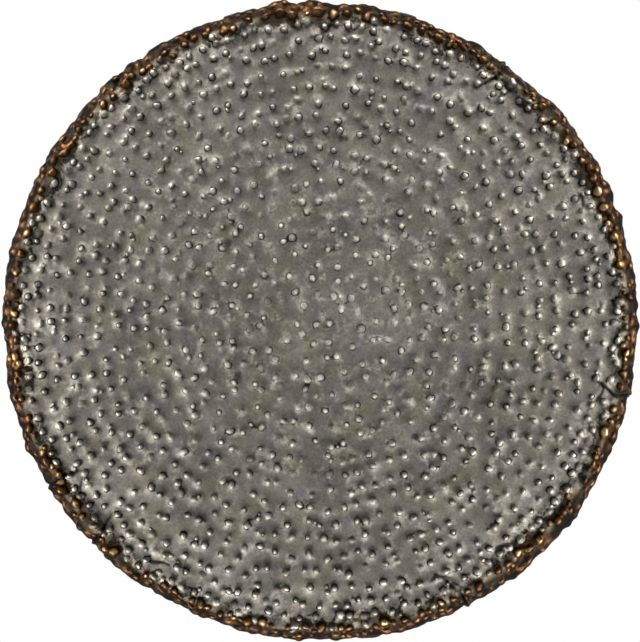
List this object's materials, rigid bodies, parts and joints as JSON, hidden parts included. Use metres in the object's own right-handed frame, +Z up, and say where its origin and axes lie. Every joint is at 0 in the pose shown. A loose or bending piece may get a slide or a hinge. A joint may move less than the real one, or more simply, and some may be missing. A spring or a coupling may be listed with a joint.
{
  "type": "tam-tam gong",
  "caption": "Round hammered bronze tam-tam gong with domed nubs over its face, a rim turned back over a dark knobbly shoulder, and lined cord holes at the top of the rim.",
  "frame": {"origin": "middle of the gong's overall box, on the axis of the disc", "axes": "+Z up as the gong hangs, with the suspension holes at the top; the face looks along -Y and the hollow back opens along +Y; +X to the right for someone in front of it"},
  "size_m": [0.61, 0.0449, 0.61],
  "materials": {
    "face_bronze": "raw hammered bronze under a grey-brown oxide skin",
    "nub_bronze": "grey oxide rubbed lighter on the tops of the nubs",
    "rim_bronze": "dark brown scale left from the fire",
    "rim_nub_copper": "scale worn through to copper and gold on the tops of the nubs",
    "grommet_rubber": "matt black rubber"
  },
  "bodies": {
    "root": {"face_plate": "face_bronze", "shoulder": "rim_bronze", "rim_band": "rim_bronze", "rim_at_left_hole": "rim_bronze", "rim_at_right_hole": "rim_bronze", "rim_pleats": "rim_bronze", "left_grommet": "grommet_rubber", "right_grommet": "grommet_rubber", "centre_nubs": "nub_bronze", "middle_nubs_left": "nub_bronze", "middle_nubs_right": "nub_bronze", "outer_nubs_top_right": "nub_bronze", "outer_nubs_top_left": "nub_bronze", "outer_nubs_bottom_left": "nub_bronze", "outer_nubs_bottom_right": "nub_bronze", "edge_nubs_top_right": "nub_bronze", "edge_nubs_top_left": "nub_bronze", "edge_nubs_bottom_left": "nub_bronze", "edge_nubs_bottom_right": "nub_bronze", "rim_nubs_top_right": "rim_nub_copper", "rim_nubs_top_left": "rim_nub_copper", "rim_nubs_bottom_left": "rim_nub_copper", "rim_nubs_bottom_right": "rim_nub_copper"}
  },
  "joints": []
}
